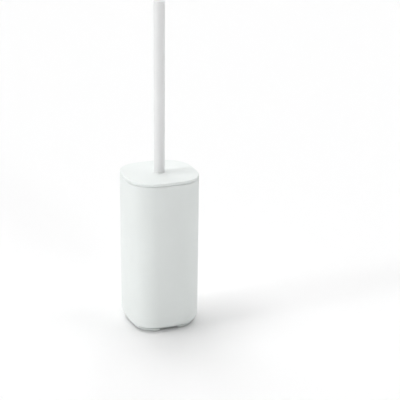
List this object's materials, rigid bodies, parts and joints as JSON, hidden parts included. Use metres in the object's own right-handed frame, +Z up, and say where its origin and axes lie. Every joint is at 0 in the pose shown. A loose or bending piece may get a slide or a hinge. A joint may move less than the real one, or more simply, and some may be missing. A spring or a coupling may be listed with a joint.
{
  "type": "toilet brush holder",
  "caption": "Free-standing rounded-square toilet brush holder with a lift-out cup and a brush hanging from its flush lid by a slim upright handle.",
  "frame": {"origin": "centre of the footprint, on the floor plane that the rubber pads stand on", "axes": "+Z up along the handle; -Y is the front, the side with the notch in the foot ring (the back has one too)"},
  "size_m": [0.09, 0.09, 0.3965],
  "materials": {
    "casing_plastic": "satin white, fine moulded grain",
    "lid_plastic": "satin white, fine moulded grain",
    "base_plastic": "plain moulded white",
    "foot_rubber": "soft grey-white rubber",
    "cup_plastic": "smooth wipe-clean white",
    "handle_lacquer": "satin white powder coat on steel tube",
    "handle_plastic": "satin white",
    "insert_plastic": "natural nylon",
    "stem_plastic": "smooth white",
    "seal_rubber": "grey silicone",
    "core_plastic": "smooth white",
    "bristle_nylon": "white nylon filament"
  },
  "bodies": {
    "holder": {"holder_shell": "casing_plastic", "base_plate": "base_plastic", "foot_pad_front_left": "foot_rubber", "foot_pad_front_right": "foot_rubber", "foot_pad_back_left": "foot_rubber", "foot_pad_back_right": "foot_rubber"},
    "cup": {"inner_cup": "cup_plastic"},
    "brush": {"lid": "lid_plastic", "lid_washer": "seal_rubber", "handle_tube": "handle_lacquer", "handle_cap": "handle_plastic", "handle_insert": "insert_plastic", "brush_stem": "stem_plastic"},
    "seal": {"head_seal": "seal_rubber"},
    "head": {"head_core": "core_plastic", "bristle_row_1": "bristle_nylon", "bristle_row_2": "bristle_nylon", "bristle_row_3": "bristle_nylon", "bristle_row_4": "bristle_nylon", "bristle_row_5": "bristle_nylon", "bristle_row_6": "bristle_nylon", "bristle_row_7": "bristle_nylon", "bristle_row_8": "bristle_nylon", "tip_bristles": "bristle_nylon"}
  },
  "joints": [
    {"name": "cup_lift", "type": "slide", "parent": "holder", "child": "cup", "axis": [0, 0, 1], "range_m": [0, 0.2]},
    {"name": "brush_lift", "type": "slide", "parent": "cup", "child": "brush", "axis": [0, 0, 1], "range_m": [0, 0.2]},
    {"name": "head_drop", "type": "slide", "parent": "brush", "child": "seal", "axis": [0, 0, -1], "range_m": [0, 0.0125]},
    {"name": "head_unscrew", "type": "hinge", "parent": "seal", "child": "head", "pos_m": [0, 0, 0.1], "axis": [0, 0, -1], "range_deg": [0, 1440]}
  ],
  "couplings": [
    {"joint": "head_drop", "follows": "head_unscrew", "m_per_rad": 0.00047746}
  ]
}
